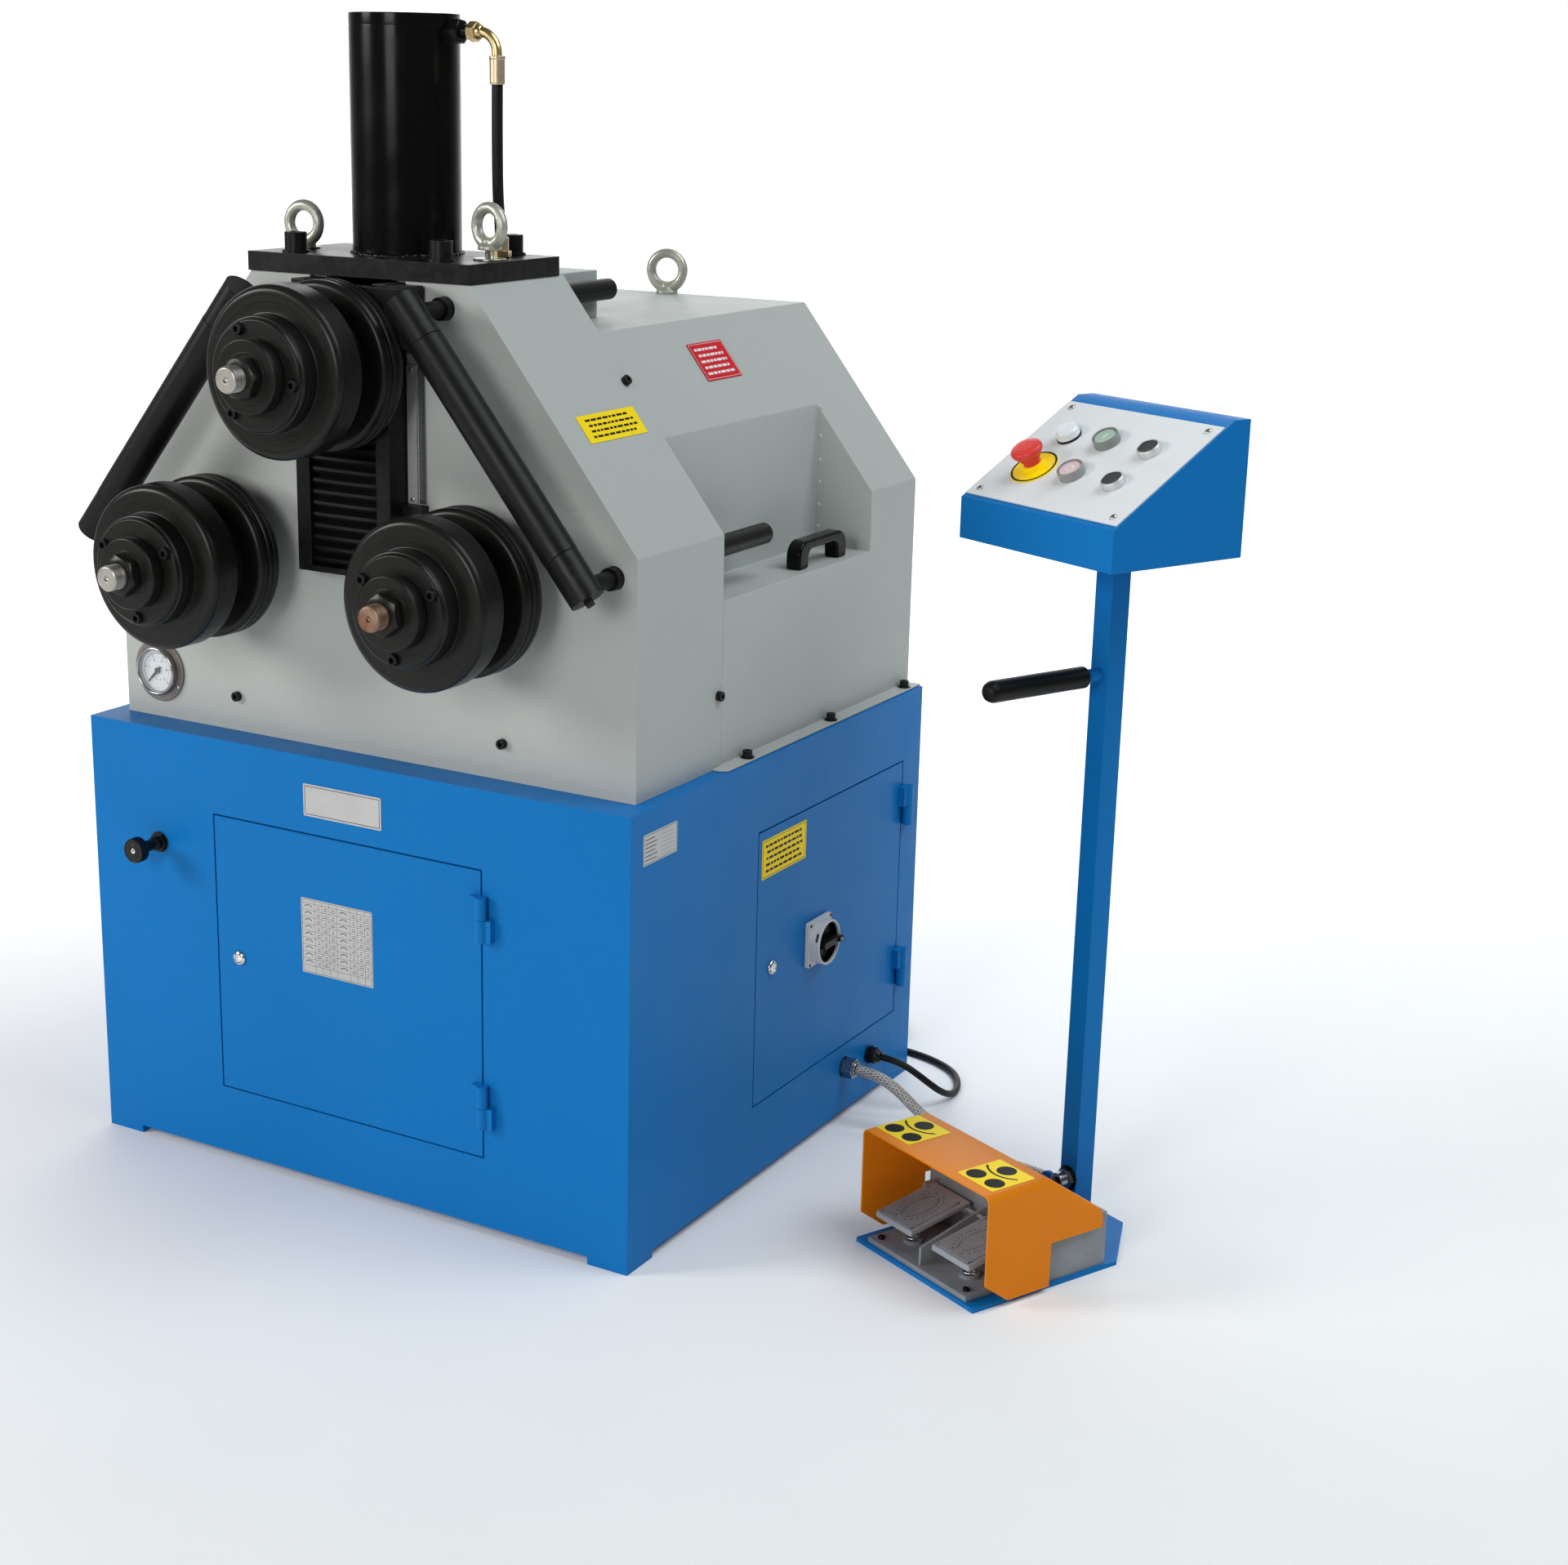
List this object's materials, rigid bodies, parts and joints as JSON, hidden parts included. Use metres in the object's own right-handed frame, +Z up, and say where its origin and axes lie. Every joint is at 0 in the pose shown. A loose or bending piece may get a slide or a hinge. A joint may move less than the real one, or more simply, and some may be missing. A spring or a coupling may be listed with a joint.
{
  "type": "ring roller",
  "caption": "Hydraulic section bending machine: driven rolls with side guides on a sheet-steel cabinet, ram on top, separate control stand with foot pedal.",
  "frame": {"origin": "centre of the rectangle of the four floor-anchor holes in the cabinet's corner feet, on the floor", "axes": "+X to the right of someone facing the rolls, +Y to the rear along the roll shafts, +Z up"},
  "size_m": [1.4287, 1.1747, 1.519],
  "materials": {
    "cabinet_blue": "smooth satin powder coat, mid blue",
    "housing_grey": "smooth satin powder coat, light grey",
    "black_paint": "semi-gloss black enamel",
    "roll_black": "black-oxide turned steel, oiled",
    "bare_steel": "turned and ground steel",
    "zinc_steel": "bright zinc plate",
    "cast_grey": "grey painted casting, fine texture",
    "orange_paint": "gloss orange enamel",
    "panel_white": "matt off-white enamel",
    "black_plastic": "moulded black plastic",
    "black_rubber": "matt black rubber",
    "braided_steel": "braided stainless sleeve",
    "red_plastic": "gloss red",
    "green_plastic": "gloss green",
    "grey_plastic": "moulded grey plastic",
    "mixed_fittings": "chrome bezels, yellow collar, white lamp",
    "cast_iron_grey": "machined cast iron"
  },
  "bodies": {
    "machine": {"cabinet_shell": "cabinet_blue", "front_housing": "housing_grey", "rear_hood": "housing_grey", "ledge_handles": "black_plastic", "roll_frame": "bare_steel", "guide_rails": "black_paint", "scale_strips": "bare_steel", "slide_bellows": "black_rubber", "top_plate": "black_paint", "cylinder_barrel": "black_paint", "hose_fittings": "zinc_steel", "hydraulic_hose": "black_rubber", "lifting_eyes": "cast_grey", "cap_screws": "black_paint", "pressure_gauge": "zinc_steel", "drive_gearmotor": "cast_iron_grey", "power_pack": "cast_iron_grey", "cable_glands": "zinc_steel", "stand_frame": "cabinet_blue", "grab_grip": "black_plastic", "console_box": "cabinet_blue", "console_panel": "panel_white", "panel_fittings": "mixed_fittings", "pedal_base": "cast_grey", "pedal_guard": "orange_paint", "control_conduit": "braided_steel", "mains_cable": "black_rubber", "mains_coil": "black_rubber", "mains_plug": "black_plastic"},
    "right_roll": {"lower_right_shaft": "bare_steel", "lower_right_roll": "roll_black", "lower_right_clamp": "roll_black"},
    "left_roll": {"lower_left_shaft": "bare_steel", "lower_left_roll": "roll_black", "lower_left_clamp": "roll_black"},
    "upper_roll_set": {"upper_shaft": "bare_steel", "upper_roll": "roll_black", "upper_clamp": "roll_black"},
    "upper_slide": {"slide_block": "black_paint", "piston_rod": "bare_steel"},
    "pinion": {"drive_pinion": "bare_steel"},
    "right_guide": {"right_guide_frame": "black_paint"},
    "left_guide": {"left_guide_frame": "black_paint"},
    "right_sleeve": {"right_guide_sleeve": "black_paint"},
    "left_sleeve": {"left_guide_sleeve": "black_paint"},
    "front_door": {"front_door": "cabinet_blue"},
    "side_door": {"side_door": "cabinet_blue", "main_switch_base": "grey_plastic"},
    "front_lock": {"front_door_lock": "zinc_steel"},
    "side_lock": {"side_door_lock": "zinc_steel"},
    "main_switch": {"main_switch_handle": "black_plastic"},
    "speed_valve": {"valve_knob": "black_plastic"},
    "needle": {"gauge_needle": "black_plastic"},
    "stop_mushroom": {"estop_button": "red_plastic"},
    "start_cap": {"start_button": "green_plastic"},
    "stop_cap": {"stop_button": "red_plastic"},
    "up_cap": {"up_button": "black_plastic"},
    "down_cap": {"down_button": "black_plastic"},
    "left_treadle": {"left_pedal": "cast_grey"},
    "right_treadle": {"right_pedal": "cast_grey"}
  },
  "joints": [
    {"name": "right_roll_turn", "type": "hinge", "parent": "machine", "child": "right_roll", "pos_m": [0.201, -0.3975, 0.848], "axis": [0, 1, 0], "continuous": true},
    {"name": "left_roll_turn", "type": "hinge", "parent": "machine", "child": "left_roll", "pos_m": [-0.201, -0.3975, 0.848], "axis": [0, 1, 0], "continuous": true},
    {"name": "upper_slide_travel", "type": "slide", "parent": "machine", "child": "upper_slide", "axis": [0, 0, 1], "range_m": [-0.16, 0], "deforming": ["slide_bellows"]},
    {"name": "upper_roll_turn", "type": "hinge", "parent": "upper_slide", "child": "upper_roll_set", "pos_m": [0, -0.3975, 1.1047], "axis": [0, 1, 0], "continuous": true},
    {"name": "pinion_turn", "type": "hinge", "parent": "machine", "child": "pinion", "pos_m": [0, 0.3025, 0.848], "axis": [0, 1, 0], "continuous": true},
    {"name": "right_guide_travel", "type": "slide", "parent": "machine", "child": "right_guide", "axis": [0, 1, 0], "range_m": [-0.1, 0.02]},
    {"name": "left_guide_travel", "type": "slide", "parent": "machine", "child": "left_guide", "axis": [0, 1, 0], "range_m": [-0.1, 0.02]},
    {"name": "right_sleeve_turn", "type": "hinge", "parent": "right_guide", "child": "right_sleeve", "pos_m": [0.2543, -0.4215, 1.0265], "axis": [0.6297, 0, -0.7768], "continuous": true},
    {"name": "left_sleeve_turn", "type": "hinge", "parent": "left_guide", "child": "left_sleeve", "pos_m": [-0.2543, -0.4215, 1.0265], "axis": [-0.6297, 0, -0.7768], "continuous": true},
    {"name": "front_door_swing", "type": "hinge", "parent": "machine", "child": "front_door", "pos_m": [0.219, -0.4055, 0.3], "axis": [0, 0, 1], "range_deg": [0, 110]},
    {"name": "side_door_swing", "type": "hinge", "parent": "machine", "child": "side_door", "pos_m": [0.442, 0.3465, 0.3], "axis": [0, 0, 1], "range_deg": [0, 110]},
    {"name": "front_lock_turn", "type": "hinge", "parent": "front_door", "child": "front_lock", "pos_m": [-0.1835, -0.3975, 0.3], "axis": [0, -1, 0], "range_deg": [0, 90]},
    {"name": "side_lock_turn", "type": "hinge", "parent": "side_door", "child": "side_lock", "pos_m": [0.434, -0.04, 0.301], "axis": [1, 0, 0], "range_deg": [0, 90]},
    {"name": "main_switch_turn", "type": "hinge", "parent": "side_door", "child": "main_switch", "pos_m": [0.441, 0.086, 0.3028], "axis": [-1, 0, 0], "range_deg": [0, 90]},
    {"name": "speed_valve_turn", "type": "hinge", "parent": "machine", "child": "speed_valve", "pos_m": [-0.318, -0.4375, 0.44], "axis": [0, 1, 0], "range_deg": [0, 720]},
    {"name": "gauge_needle_turn", "type": "hinge", "parent": "machine", "child": "needle", "pos_m": [-0.349, -0.3555, 0.665], "axis": [0, 1, 0], "range_deg": [0, 270], "stiffness_Nm_per_rad": 0.00001},
    {"name": "stop_mushroom_push", "type": "slide", "parent": "machine", "child": "stop_mushroom", "axis": [0.2228, 0.4777, -0.8498], "range_m": [0, 0.006], "stiffness_N_per_m": 900, "springref_m": -0.003},
    {"name": "start_cap_push", "type": "slide", "parent": "machine", "child": "start_cap", "axis": [0.2228, 0.4777, -0.8498], "range_m": [0, 0.004], "stiffness_N_per_m": 700, "springref_m": -0.003},
    {"name": "stop_cap_push", "type": "slide", "parent": "machine", "child": "stop_cap", "axis": [0.2228, 0.4777, -0.8498], "range_m": [0, 0.004], "stiffness_N_per_m": 700, "springref_m": -0.003},
    {"name": "up_cap_push", "type": "slide", "parent": "machine", "child": "up_cap", "axis": [0.2228, 0.4777, -0.8498], "range_m": [0, 0.003], "stiffness_N_per_m": 700, "springref_m": -0.003},
    {"name": "down_cap_push", "type": "slide", "parent": "machine", "child": "down_cap", "axis": [0.2228, 0.4777, -0.8498], "range_m": [0, 0.003], "stiffness_N_per_m": 700, "springref_m": -0.003},
    {"name": "left_treadle_press", "type": "hinge", "parent": "machine", "child": "left_treadle", "pos_m": [0.73076, -0.08796, 0.058], "axis": [0.9063, -0.4226, 0], "range_deg": [0, 12], "stiffness_Nm_per_rad": 14, "springref_deg": -6.88},
    {"name": "right_treadle_press", "type": "hinge", "parent": "machine", "child": "right_treadle", "pos_m": [0.83226, -0.13529, 0.058], "axis": [0.9063, -0.4226, 0], "range_deg": [0, 12], "stiffness_Nm_per_rad": 14, "springref_deg": -6.88}
  ],
  "couplings": [
    {"joint": "left_roll_turn", "follows": "right_roll_turn", "ratio": 1},
    {"joint": "pinion_turn", "follows": "right_roll_turn", "ratio": -2.9412},
    {"joint": "upper_roll_turn", "follows": "right_roll_turn", "ratio": -1}
  ]
}
